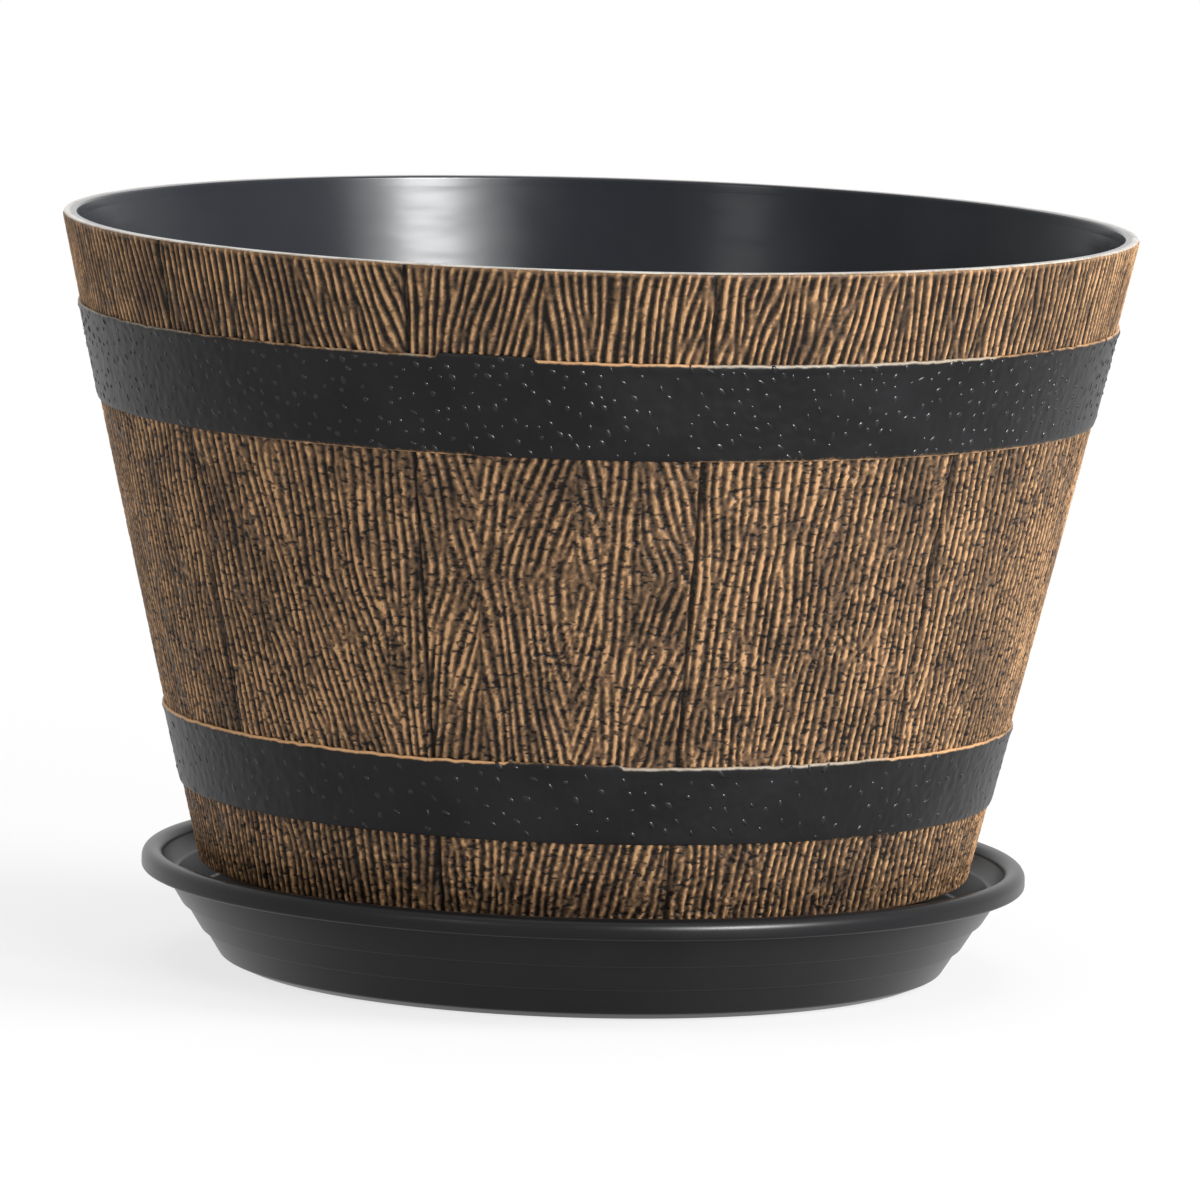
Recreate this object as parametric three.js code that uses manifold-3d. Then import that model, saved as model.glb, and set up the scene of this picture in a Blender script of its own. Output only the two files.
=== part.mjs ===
// Barrel planter: a moulded plastic pot whose wall imitates staves held by two hoops, standing
// loose in a saucer with a rolled rim. Millimetres, +Z up. The origin is on the ground, under
// the middle of the saucer.

import * as THREE from 'three';
import { ConvexGeometry } from 'three/addons/geometries/ConvexGeometry.js';
import { mergeVertices } from 'three/addons/utils/BufferGeometryUtils.js';
import Module from 'manifold-3d';

// ---- Facets -------------------------------------------------------------------------------

const STAVES = 11;
const FACETS_PER_STAVE = 8;
const ROLL_STEPS = 6;               // facets on each half turn of the saucer's rolled rim
const HOLLOW_STEPS = 4;             // the same inside the roll and round its lower edge
const CORNER_STEPS = 3;             // facets on the fillet inside the pot
const EDGE_STEPS = 2;               // facets on each small rounded edge
const WALL_ROWS = 5;                // rows that follow the wall's belly between the hoops

// ---- Pot: rim, wall and its bands, listed from the rim down --------------------------------

const RIM_RADIUS = 152.5;           // widest point of the pot
const RIM_WIDTH = 3.9;              // wall at the rim, measured level
const RIM_ROUND = 1.0;              // outer edge of the rim
const RIM_INNER_ROUND = 0.8;
const TOP_BAND = 25.3;
const UPPER_HOOP = 27.3;
const MIDDLE_BAND = 86.6;
const LOWER_HOOP = 22.4;
const BOTTOM_BAND = 22.8;
const TAPER = 0.2345;               // radius lost for each unit of depth
const BELLY = 0.6;                  // bulge of the wall at half its height
const WALL = 2.6;                   // wall at the floor, measured level; it thickens to the rim
const HOOP_PROUD = 0.6;
const HOOP_CHAMFER = 0.4;
const BOTTOM_ROUND = 1.0;           // lower edge of the wall
const FLOOR_FILLET = 5.0;           // inside, between floor and wall

// ---- Pot: joints between the staves --------------------------------------------------------

const JOINT_WIDTH = 1.8;
const JOINT_DEPTH = 1.1;
const JOINT_RIM_MARGIN = 1.6;       // the rim stays whole above the joints
const JOINT_HOOP_MARGIN = 0.15;
const FIRST_JOINT = -20.6;          // degrees from the front, towards +X

// ---- Pot: foot, drain holes and the notches that let water out of the foot -----------------

const POT_FLOOR = 2.6;
const FOOT_HEIGHT = 25.0;
const FOOT_RADIUS = 90.0;
const FOOT_DRAFT = 0.8;             // the foot is narrower by this much at the ground
const FOOT_WALL = 2.6;
const DRAIN_HOLES = 4;
const DRAIN_RADIUS = 6.0;
const DRAIN_FACETS = 16;
const DRAIN_CIRCLE = 66.0;
const NOTCHES = 4;
const NOTCH_WIDTH = 18.0;
const NOTCH_HEIGHT = 4.0;
const CUT_MARGIN = 2.0;             // how far a hole or notch is cut past the wall it goes through

// ---- Saucer --------------------------------------------------------------------------------

const SEAT_GAP = 0.3;               // between the pot's foot and the saucer's floor
const FOOT_CLEARANCE = 8.4;         // round the foot, on the saucer's floor
const WALL_CLEARANCE = 10.4;        // between the pot's wall and the saucer's rolled rim
const SAUCER_FLOOR = 1.8;
const STAND_HEIGHT = 1.2;           // standing ring under the saucer
const STAND_WIDTH = 6.0;
const HEEL_RUN = 4.8;               // curve from the standing ring out to the terraced wall
const HEEL_RISE = 2.0;
const TERRACES = 3;
const TERRACE_RISE = 7.4;
const TREAD = 1.0;                  // width of the small step above each terrace
const SAUCER_WALL = 2.4;            // measured level
const INNER_HEEL_RISE = 0.8;        // fillet between the saucer's floor and its wall
const LEDGE_HEIGHT = 0.7;           // the top inner tread lies this much above the top terrace
const NECK_RISE = 4.5;              // from the top terrace to the middle of the roll
const NECK_RUN = 3.0;
const LIP_RADIUS = 3.0;             // outside of the rolled rim
const LIP_WALL = 2.0;
const LIP_SKIRT = 1.8;              // straight drop of the roll's outer leg

// ---- Heights and radii that follow from the sizes above ------------------------------------

const potHeight = TOP_BAND + UPPER_HOOP + MIDDLE_BAND + LOWER_HOOP + BOTTOM_BAND;
const saucerFloorTop = STAND_HEIGHT + SAUCER_FLOOR;
const footBottom = saucerFloorTop + SEAT_GAP;
const wallBottom = footBottom + FOOT_HEIGHT;
const potTop = wallBottom + potHeight;
const upperHoopTop = potTop - TOP_BAND;
const upperHoopBottom = upperHoopTop - UPPER_HOOP;
const lowerHoopTop = upperHoopBottom - MIDDLE_BAND;
const lowerHoopBottom = lowerHoopTop - LOWER_HOOP;

function straightRadius(z) {
  return RIM_RADIUS - TAPER * (potTop - RIM_ROUND - z);
}

function wallRadius(z) {
  const share = (potTop - z) / potHeight;
  return straightRadius(z) + 4 * BELLY * share * (1 - share);
}

// ---- Profile helpers ------------------------------------------------------------------------

function point(radius, height) {
  return new THREE.Vector2(radius, height);
}

function arc(middle, radius, fromDegrees, toDegrees, steps) {
  const curve = new THREE.ArcCurve(
    middle.x, middle.y, radius,
    THREE.MathUtils.degToRad(fromDegrees), THREE.MathUtils.degToRad(toDegrees),
    toDegrees < fromDegrees,
  );
  return curve.getPoints(steps);
}

// A plain stretch of the wall, from one height up to another.
function wallStretch(fromHeight, toHeight, rows) {
  const stretch = [];
  for (let row = 0; row <= rows; row += 1) {
    const height = THREE.MathUtils.lerp(fromHeight, toHeight, row / rows);
    stretch.push(point(wallRadius(height), height));
  }
  return stretch;
}

// A hoop: a flat raised band with chamfered edges.
function hoop(bottom, top) {
  return [
    point(wallRadius(bottom) + HOOP_PROUD - HOOP_CHAMFER, bottom),
    point(wallRadius(bottom) + HOOP_PROUD, bottom + HOOP_CHAMFER),
    point(wallRadius(top) + HOOP_PROUD, top - HOOP_CHAMFER),
    point(wallRadius(top) + HOOP_PROUD - HOOP_CHAMFER, top),
  ];
}

// ---- Solids -----------------------------------------------------------------------------------

const manifoldLibrary = await Module();
manifoldLibrary.setup();

function toSolid(geometry) {
  const plain = geometry.clone();
  plain.deleteAttribute('normal');
  plain.deleteAttribute('uv');
  const merged = mergeVertices(plain);
  const triangles = [];
  const index = merged.index.array;
  for (let i = 0; i < index.length; i += 3) {
    const [a, b, c] = [index[i], index[i + 1], index[i + 2]];
    const flat = a === b || b === c || c === a;
    if (!flat) triangles.push(a, b, c);
  }
  return new manifoldLibrary.Manifold(new manifoldLibrary.Mesh({
    numProp: 3,
    vertProperties: new Float32Array(merged.attributes.position.array),
    triVerts: new Uint32Array(triangles),
  }));
}

function toGeometry(solid) {
  const mesh = solid.getMesh();
  const geometry = new THREE.BufferGeometry();
  geometry.setAttribute('position', new THREE.BufferAttribute(mesh.vertProperties, 3));
  geometry.setIndex(new THREE.BufferAttribute(mesh.triVerts, 1));
  geometry.computeVertexNormals();
  return geometry;
}

// A profile turned about the Z axis.
function revolve(profile) {
  const geometry = new THREE.LatheGeometry(profile, STAVES * FACETS_PER_STAVE);
  geometry.rotateX(Math.PI / 2);
  return toSolid(geometry);
}

// ---- Pot --------------------------------------------------------------------------------------

function potProfile() {
  const rimInner = RIM_RADIUS - RIM_WIDTH;
  const floorTop = wallBottom + POT_FLOOR;
  const floorRadius = straightRadius(floorTop) - WALL;
  const filletMiddle = point(floorRadius - FLOOR_FILLET, floorTop + FLOOR_FILLET);
  const bottomMiddle = point(wallRadius(wallBottom) - BOTTOM_ROUND, wallBottom + BOTTOM_ROUND);
  const outerRound = point(RIM_RADIUS - RIM_ROUND, potTop - RIM_ROUND);
  const innerRound = point(rimInner + RIM_INNER_ROUND, potTop - RIM_INNER_ROUND);
  const footInner = FOOT_RADIUS - FOOT_WALL;
  return [
    point(0, wallBottom),
    point(footInner, wallBottom),
    point(footInner, footBottom),
    point(FOOT_RADIUS - FOOT_DRAFT, footBottom),
    point(FOOT_RADIUS, wallBottom),
    ...arc(bottomMiddle, BOTTOM_ROUND, -90, 0, EDGE_STEPS),
    point(wallRadius(lowerHoopBottom), lowerHoopBottom),
    ...hoop(lowerHoopBottom, lowerHoopTop),
    ...wallStretch(lowerHoopTop, upperHoopBottom, WALL_ROWS),
    ...hoop(upperHoopBottom, upperHoopTop),
    point(wallRadius(upperHoopTop), upperHoopTop),
    ...arc(outerRound, RIM_ROUND, 0, 90, EDGE_STEPS),
    ...arc(innerRound, RIM_INNER_ROUND, 90, 180, EDGE_STEPS),
    ...arc(filletMiddle, FLOOR_FILLET, 0, -90, CORNER_STEPS),
    point(0, floorTop),
  ];
}

// A wedge that cuts one V joint into the wall, between two heights.
function jointCutter(bottom, top) {
  const halfWidth = JOINT_WIDTH / 2;
  const flare = (JOINT_DEPTH + HOOP_PROUD) / JOINT_DEPTH;
  const corners = [];
  for (const height of [bottom, top]) {
    const radius = wallRadius(height);
    corners.push(
      new THREE.Vector3(0, -(radius - JOINT_DEPTH), height),
      new THREE.Vector3(-halfWidth * flare, -(radius + HOOP_PROUD), height),
      new THREE.Vector3(halfWidth * flare, -(radius + HOOP_PROUD), height),
    );
  }
  return new ConvexGeometry(corners);
}

function cutJoints(shell) {
  const bands = [
    [wallBottom - BOTTOM_ROUND, lowerHoopBottom - JOINT_HOOP_MARGIN],
    [lowerHoopTop + JOINT_HOOP_MARGIN, upperHoopBottom - JOINT_HOOP_MARGIN],
    [upperHoopTop + JOINT_HOOP_MARGIN, potTop - JOINT_RIM_MARGIN],
  ];
  let pot = shell;
  for (const [bottom, top] of bands) {
    for (let stave = 0; stave < STAVES; stave += 1) {
      const turn = FIRST_JOINT + (stave * 360) / STAVES;
      const cutter = jointCutter(bottom, top);
      cutter.rotateZ(THREE.MathUtils.degToRad(turn));
      pot = pot.subtract(toSolid(cutter));
    }
  }
  return pot;
}

function cutDrainHoles(shell) {
  let pot = shell;
  for (let hole = 0; hole < DRAIN_HOLES; hole += 1) {
    const turn = ((hole + 0.5) * 2 * Math.PI) / DRAIN_HOLES;
    const length = POT_FLOOR + 2 * CUT_MARGIN;
    const cutter = new THREE.CylinderGeometry(DRAIN_RADIUS, DRAIN_RADIUS, length, DRAIN_FACETS);
    cutter.rotateX(Math.PI / 2);
    cutter.translate(DRAIN_CIRCLE, 0, wallBottom + POT_FLOOR / 2);
    cutter.rotateZ(turn);
    pot = pot.subtract(toSolid(cutter));
  }
  return pot;
}

function cutNotches(shell) {
  let pot = shell;
  for (let notch = 0; notch < NOTCHES; notch += 1) {
    const turn = (notch * 2 * Math.PI) / NOTCHES;
    const cutter = new THREE.BoxGeometry(
      FOOT_WALL + 2 * CUT_MARGIN, NOTCH_WIDTH, NOTCH_HEIGHT + CUT_MARGIN,
    );
    cutter.translate(
      FOOT_RADIUS - FOOT_WALL / 2, 0, footBottom + (NOTCH_HEIGHT - CUT_MARGIN) / 2,
    );
    cutter.rotateZ(turn);
    pot = pot.subtract(toSolid(cutter));
  }
  return pot;
}

function makePot() {
  return toGeometry(cutNotches(cutDrainHoles(cutJoints(revolve(potProfile())))));
}

// ---- Saucer -----------------------------------------------------------------------------------

// The terraced wall, from its foot up to its top: each terrace leans out, and the first few end
// in a small level tread.
function terraces(foot, top, treads) {
  const lean = (top.x - foot.x - treads * TREAD) / TERRACES;
  const rise = (top.y - foot.y) / TERRACES;
  const points = [foot];
  let { x: radius, y: height } = foot;
  for (let terrace = 0; terrace < TERRACES; terrace += 1) {
    radius += lean;
    height += rise;
    points.push(point(radius, height));
    if (terrace < treads) {
      radius += TREAD;
      points.push(point(radius, height));
    }
  }
  return points;
}

function saucerProfile() {
  const standRadius = FOOT_RADIUS + FOOT_CLEARANCE;
  const terraceTop = HEEL_RISE + TERRACES * TERRACE_RISE;
  const lipHeight = terraceTop + NECK_RISE;
  const lipMiddle = point(wallRadius(lipHeight) + WALL_CLEARANCE + LIP_RADIUS, lipHeight);
  const hollow = LIP_RADIUS - LIP_WALL;
  const wallTop = lipMiddle.x - hollow - NECK_RUN;
  const skirtMiddle = point(lipMiddle.x + LIP_RADIUS - LIP_WALL / 2, lipHeight - LIP_SKIRT);
  const heel = new THREE.EllipseCurve(
    standRadius, HEEL_RISE, HEEL_RUN, HEEL_RISE, -Math.PI / 2, 0,
  ).getPoints(EDGE_STEPS);
  const outer = terraces(
    heel[EDGE_STEPS],
    point(wallTop, terraceTop),
    TERRACES - 1,
  );
  const inner = terraces(
    point(standRadius + HEEL_RUN - SAUCER_WALL, saucerFloorTop + INNER_HEEL_RISE),
    point(wallTop - SAUCER_WALL, terraceTop + LEDGE_HEIGHT),
    TERRACES,
  );
  return [
    point(0, STAND_HEIGHT),
    point(standRadius - STAND_WIDTH - STAND_HEIGHT, STAND_HEIGHT),
    point(standRadius - STAND_WIDTH, 0),
    ...heel.slice(0, EDGE_STEPS),
    ...outer,
    ...arc(lipMiddle, hollow, 180, 0, HOLLOW_STEPS),
    ...arc(skirtMiddle, LIP_WALL / 2, -180, 0, HOLLOW_STEPS),
    ...arc(lipMiddle, LIP_RADIUS, 0, 180, ROLL_STEPS),
    ...inner.reverse(),
    point(standRadius, saucerFloorTop),
    point(0, saucerFloorTop),
  ];
}

function makeSaucer() {
  return toGeometry(revolve(saucerProfile()));
}

// ---- Assembly -----------------------------------------------------------------------------------

function piece(name, geometry, material) {
  const mesh = new THREE.Mesh(geometry, material);
  mesh.name = name;
  return mesh;
}

const brushedBronze = new THREE.MeshStandardMaterial({
  color: 0x6a5442, roughness: 0.55, metalness: 0,
});
const satinBlack = new THREE.MeshStandardMaterial({
  color: 0x2d2e30, roughness: 0.38, metalness: 0,
});

const planter = new THREE.Group();
planter.add(
  piece('pot', makePot(), brushedBronze),
  piece('saucer', makeSaucer(), satinBlack),
);

export default planter;
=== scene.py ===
"""Looks of the barrel planter: a moulded pot with a dry-brushed wood-grain wall, in its saucer.

Heights and radii are in millimetres until a mesh is made. Angles are in degrees from the front,
-Y, towards +X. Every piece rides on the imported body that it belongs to.
"""

import math

import bpy
import numpy as np
from mathutils import Matrix, Vector


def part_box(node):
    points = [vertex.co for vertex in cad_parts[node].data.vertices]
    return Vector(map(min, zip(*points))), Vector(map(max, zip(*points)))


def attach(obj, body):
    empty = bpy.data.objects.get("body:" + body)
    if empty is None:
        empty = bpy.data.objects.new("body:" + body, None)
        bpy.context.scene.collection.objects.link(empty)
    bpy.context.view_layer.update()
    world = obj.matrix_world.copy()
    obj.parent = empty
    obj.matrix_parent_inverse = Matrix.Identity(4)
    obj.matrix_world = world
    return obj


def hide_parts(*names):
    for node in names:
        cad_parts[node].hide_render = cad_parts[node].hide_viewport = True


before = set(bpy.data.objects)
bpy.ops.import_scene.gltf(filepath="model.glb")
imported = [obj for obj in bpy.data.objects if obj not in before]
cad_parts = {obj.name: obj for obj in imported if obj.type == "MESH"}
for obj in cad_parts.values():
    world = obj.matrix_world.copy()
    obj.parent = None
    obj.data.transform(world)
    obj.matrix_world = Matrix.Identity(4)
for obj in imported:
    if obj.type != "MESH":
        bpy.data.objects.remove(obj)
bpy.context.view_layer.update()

MM = 0.001

# ---- Sizes ----

POT_LOW, POT_HIGH = (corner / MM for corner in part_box("pot"))
SAUCER_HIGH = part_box("saucer")[1] / MM

RIM_RADIUS = POT_HIGH.x
POT_TOP = POT_HIGH.z
FOOT_BOTTOM = POT_LOW.z
RIM_WIDTH = 3.9
RIM_ROUND = 1.0
RIM_INNER_ROUND = 0.8
RIM_DEPTH = 3.0  # height of the piece that the rim's finish is on
SHELL_TUCK = 1.0  # the shell runs on under that piece
TAPER = 0.2345
BELLY = 0.6
WALL = 2.6

TOP_BAND = 25.3
UPPER_HOOP = 27.3
MIDDLE_BAND = 86.6
LOWER_HOOP = 22.4
BOTTOM_BAND = 22.8
UPPER_HOOP_TOP = POT_TOP - TOP_BAND
UPPER_HOOP_BOTTOM = UPPER_HOOP_TOP - UPPER_HOOP
LOWER_HOOP_TOP = UPPER_HOOP_BOTTOM - MIDDLE_BAND
LOWER_HOOP_BOTTOM = LOWER_HOOP_TOP - LOWER_HOOP
WALL_BOTTOM = LOWER_HOOP_BOTTOM - BOTTOM_BAND

POT_FLOOR = 2.6
FOOT_RADIUS = 90.0
FOOT_DRAFT = 0.8
FOOT_WALL = 2.6
FLOOR_FILLET = 5.0
DRAIN_HOLES = 4
DRAIN_RADIUS = 6.0
DRAIN_CIRCLE = 66.0
NOTCHES = 4
NOTCH_WIDTH = 18.0
NOTCH_HEIGHT = 4.0
NOTCH_REACH = 5  # how far each way a notch is cut from the middle of the foot's wall
CUT_MARGIN = 2  # how far a hole is cut past the floor that it goes through
DRAIN_CORNERS = 48

STAVES = 11
STAVE_TURN = 360 / STAVES
FIRST_JOINT = -20.6
JOINT_WIDTH = 2.0
JOINT_DEPTH = 1.1
JOINT_WANDER = 1.6
NICK_DEPTH = 0.3  # share of a ridge's height that a nick takes away
RIDGE_HEIGHT = 0.65
SKIN = 1.9  # how deep a stave's slab reaches under the wall's surface
CORE_SINK = 1.3  # the plain shell under the slabs lies this deep
TUCK = 1.0  # the slabs' grain runs on under each hoop
STAVE_COLUMNS = 216
ROW_PITCH = 0.55
TOP_EDGE_BAND = 1.3  # the ridges run together along the rim
LOWER_EDGE_BAND = 0.8  # and along the lower edge
EDGE_CREST = 0.72  # how high they stand there
BOTTOM_ROUND = 1.0  # lower edge of the wall
FRONT_MAP = 0.965  # share of its map that a stave's front takes, each way

HOOP_PROUD = 0.6
HOOP_CHAMFER = 0.4
HOOP_SEAT = 1.0
HOOP_COLUMNS = 1100
HOOP_ROW_PITCH = 0.9

RIM_COLUMNS = 528
PLAIN_COLUMNS = 264  # faces round the shell and the saucer
CORNER_STEPS = 6  # on each rounding of the rim and the shell
ROUNDING_LIMIT = 2.05  # a rounding takes no more of a side than this divides it into
SHARP_ANGLE = math.radians(38)
SQUARE = ((-1, -1), (1, -1), (1, 1), (-1, 1))
ON_AXIS = 1e-6


def straight_radius(height):
    return RIM_RADIUS - TAPER * (POT_TOP - RIM_ROUND - height)


def wall_radius(height):
    share = (POT_TOP - height) / (POT_TOP - WALL_BOTTOM)
    return straight_radius(height) + 4 * BELLY * share * (1 - share)


def inner_radius(height):
    """The inside of the pot: one straight taper from the floor's fillet to the rim."""
    floor_top = WALL_BOTTOM + POT_FLOOR
    heights = (floor_top + FLOOR_FILLET, POT_TOP - RIM_INNER_ROUND)
    radii = (straight_radius(floor_top) - WALL, RIM_RADIUS - RIM_WIDTH)
    return float(np.interp(height, heights, radii))


def outer_radius(heights):
    """The wall's outside, over the rounded rim as well."""
    over = np.clip((heights - POT_TOP + RIM_ROUND) / RIM_ROUND, 0, 1)
    rim = RIM_RADIUS - RIM_ROUND * (1 - np.sqrt(1 - over ** 2))
    return np.where(over > 0, rim, wall_radius(heights))


# ---- Nodes: wires that take arithmetic, and a board that nodes are put on ----


def operator(operation, reflected=False):
    """The method for an operator on a wire: it adds a Math node."""
    def method(wire, other):
        values = (other, wire) if reflected else (wire, other)
        return wire.board.math(operation, *values)
    return method


class Wire:
    """One output of a node. Arithmetic on it adds Math nodes."""

    def __init__(self, board, socket):
        self.board, self.socket = board, socket

    __add__ = __radd__ = operator("ADD")
    __sub__, __rsub__ = operator("SUBTRACT"), operator("SUBTRACT", reflected=True)
    __mul__ = __rmul__ = operator("MULTIPLY")
    __truediv__, __rtruediv__ = operator("DIVIDE"), operator("DIVIDE", reflected=True)
    __gt__, __lt__ = operator("GREATER_THAN"), operator("LESS_THAN")


class Board:
    """Puts nodes into one tree."""

    def __init__(self, tree):
        self.tree = tree

    def node(self, kind, settings=None, inputs=None):
        """Adds a node: its settings first, then its inputs by name or number. Returns the node."""
        node = self.tree.nodes.new(kind)
        for name, value in (settings or {}).items():
            if name == "stops":
                self.set_stops(node.color_ramp, value)
            else:
                setattr(node, name, value)
        for name, value in (inputs or {}).items():
            if isinstance(value, Wire):
                self.tree.links.new(value.socket, node.inputs[name])
            else:
                node.inputs[name].default_value = value
        return node

    def wire(self, kind, output, settings=None, inputs=None):
        """Adds a node and returns one of its outputs."""
        return Wire(self, self.node(kind, settings, inputs).outputs[output])

    @staticmethod
    def set_stops(ramp, stops):
        while len(ramp.elements) < len(stops):
            ramp.elements.new(1.0)
        for element, (place, colour) in zip(ramp.elements, stops):
            element.position, element.color = place, colour

    def math(self, operation, *values):
        inputs = dict(enumerate(values))
        return self.wire("ShaderNodeMath", 0, {"operation": operation}, inputs)

    def ease(self, value, low, high):
        """0 below low, 1 above high and smooth between."""
        settings = {"interpolation_type": "SMOOTHSTEP"}
        inputs = {"Value": value, "From Min": low, "From Max": high}
        return self.wire("ShaderNodeMapRange", "Result", settings, inputs)

    def blend(self, share, first, second):
        """A colour between two colours."""
        inputs = {0: share, 6: first, 7: second}
        return self.wire("ShaderNodeMix", 2, {"data_type": "RGBA"}, inputs)

    def vector_math(self, operation, output, inputs):
        return self.wire("ShaderNodeVectorMath", output, {"operation": operation}, inputs)

    def stretched(self, place, *shares):
        """The place with its X, Y and Z scaled, for a pattern that is longer one way."""
        return self.vector_math("MULTIPLY", 0, {0: place, 1: shares})

    def height(self, place):
        return self.wire("ShaderNodeSeparateXYZ", "Z", None, {0: place})

    def noise(self, place, scale, detail=2.0, seed=0.0):
        """Noise around 0.5, with about scale waves to a metre."""
        inputs = {"Vector": place, "Scale": scale, "Detail": detail, "W": seed}
        return self.wire("ShaderNodeTexNoise", "Fac", {"noise_dimensions": "4D"}, inputs)

    def bumpy(self, strength, depth, height, under=None):
        """The normal of a finish with small heights, laid over another one if there is one."""
        inputs = {"Strength": strength, "Distance": depth, "Height": height}
        if under:
            inputs["Normal"] = under
        return self.wire("ShaderNodeBump", 0, None, inputs)

    def attribute(self, name):
        return self.wire("ShaderNodeAttribute", "Fac", {"attribute_name": name})

    def shape(self, kind, **inputs):
        """Adds a geometry node and returns its geometry."""
        return self.wire("GeometryNode" + kind, "Geometry", None, inputs)


def fresh_board(owner):
    """Clears the nodes of a material or a world, for new ones."""
    owner.use_nodes = True
    owner.node_tree.nodes.clear()
    return Board(owner.node_tree)


def painted(red, green, blue):
    """A linear colour from the 0 to 255 values that a screen shows."""
    def linear(value):
        share = value / 255
        return share / 12.92 if share <= 0.04045 else ((share + 0.055) / 1.055) ** 2.4
    return (linear(red), linear(green), linear(blue), 1.0)


# ---- Camera ----

CAMERA_PLACE = Vector((0.0, -3.2105, 0.4951))
CAMERA_DIP = math.radians(6.931)
CAMERA_YAW = math.radians(0.047)
CAMERA_ROLL = math.radians(1.621)
FOCAL_PIXELS = 11366.0
PICTURE_PIXELS = 1200.0


def towards(turn, rise):
    """Points from the middle to what stands at a turn from the front and a height angle."""
    level = math.cos(rise)
    return Vector((math.sin(turn) * level, -math.cos(turn) * level, math.sin(rise)))


def make_camera():
    camera = bpy.data.cameras.new("camera")
    camera.sensor_width = 36.0
    camera.lens = FOCAL_PIXELS / PICTURE_PIXELS * camera.sensor_width
    camera.clip_end = 50.0
    level = Vector((math.cos(CAMERA_YAW), -math.sin(CAMERA_YAW), 0.0))
    forward = -towards(-CAMERA_YAW, CAMERA_DIP)
    upright = level.cross(forward)
    right = level * math.cos(CAMERA_ROLL) + upright * math.sin(CAMERA_ROLL)
    up = upright * math.cos(CAMERA_ROLL) - level * math.sin(CAMERA_ROLL)
    axes = Matrix((right, up, -forward)).transposed()
    holder = bpy.data.objects.new("camera", camera)
    holder.matrix_world = Matrix.Translation(CAMERA_PLACE) @ axes.to_4x4()
    bpy.context.scene.collection.objects.link(holder)
    bpy.context.scene.camera = holder


# ---- Stage and lights ----

FLOOR_REACH = 8000.0
FLOOR_SEEN_NEAR = 0.74  # how much of the floor's brightness is its own, close to the saucer
FLOOR_FADE = (0.2, 0.75)  # metres from the middle over which it turns white
FLOOR_GREY = painted(236, 236, 236)
WHITE = (1.0, 1.0, 1.0, 1.0)
AMBIENT = 0.31
LAMPS = [
    # name, turn from the front, height angle, distance, width, height, watts, what it lights
    ("key", 37.0, 18.0, 2.6, 1.2, 0.8, 40.0, "colour"),
    ("key_core", 42.0, 19.0, 2.6, 0.6, 0.4, 75.0, "gloss"),
    ("key_middle", 42.0, 20.0, 2.6, 1.0, 0.7, 85.0, "gloss"),
    ("key_edge", 42.0, 20.0, 2.6, 1.7, 1.0, 70.0, "gloss"),
    ("fill", -34.0, 17.0, 2.6, 1.4, 1.0, 4.0, "both"),
    ("fill_core", -34.0, 22.0, 2.6, 0.5, 0.3, 3.5, "gloss"),
    ("left", -82.0, 22.0, 2.4, 1.3, 1.3, 10.0, "colour"),
    ("right", 80.0, 22.0, 2.4, 1.2, 1.3, 68.0, "colour"),
    ("top", 0.0, 84.0, 2.2, 1.8, 1.8, 14.0, "both"),
    ("back", 180.0, 40.0, 2.6, 1.8, 1.2, 14.0, "both"),
]


def seen_directly(board):
    """1 for what the camera sees, also in gloss or through glass, and 0 for diffuse light."""
    path = board.node("ShaderNodeLightPath")
    seen = board.math("MAXIMUM", Wire(board, path.outputs["Is Camera Ray"]),
                      Wire(board, path.outputs["Is Glossy Ray"]))
    return board.math("MAXIMUM", seen, Wire(board, path.outputs["Is Transmission Ray"]))


def make_world():
    world = bpy.data.worlds.new("studio")
    board = fresh_board(world)
    strength = AMBIENT + seen_directly(board) * (1 - AMBIENT)
    light = board.wire("ShaderNodeBackground", 0, None,
                       {"Color": WHITE, "Strength": strength})
    board.node("ShaderNodeOutputWorld", None, {"Surface": light})
    bpy.context.scene.world = world


def make_floor():
    paint, board, place = new_material("pale_floor")
    matt = board.wire("ShaderNodeBsdfDiffuse", 0, None, {"Color": FLOOR_GREY})
    bright = board.wire("ShaderNodeEmission", 0, None, {"Color": WHITE, "Strength": 1.0})
    away = board.vector_math("LENGTH", "Value", {0: place})
    share = FLOOR_SEEN_NEAR + board.ease(away, *FLOOR_FADE) * (1 - FLOOR_SEEN_NEAR)
    seen = seen_directly(board) * share
    surface = board.wire("ShaderNodeMixShader", 0, None, {0: seen, 1: matt, 2: bright})
    board.node("ShaderNodeOutputMaterial", None, {"Surface": surface})
    corners = [(x * FLOOR_REACH, y * FLOOR_REACH, 0) for x, y in SQUARE]
    new_piece("floor", corners, [(0, 1, 2, 3)], paint)


def make_lamps():
    aim = Vector((0.0, 0.0, POT_TOP / 2 * MM))
    for name, turn, rise, distance, width, height, watts, lights in LAMPS:
        lamp = bpy.data.lights.new(name, "AREA")
        lamp.shape = "RECTANGLE"
        lamp.size, lamp.size_y, lamp.energy = width, height, watts
        way = towards(math.radians(turn), math.radians(rise))
        holder = bpy.data.objects.new(name, lamp)
        holder.rotation_euler = way.to_track_quat("Z", "Y").to_euler()
        holder.location = aim + way * distance
        holder.visible_glossy = lights != "colour"
        holder.visible_diffuse = lights != "gloss"
        bpy.context.scene.collection.objects.link(holder)


# ---- Materials ----

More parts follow.
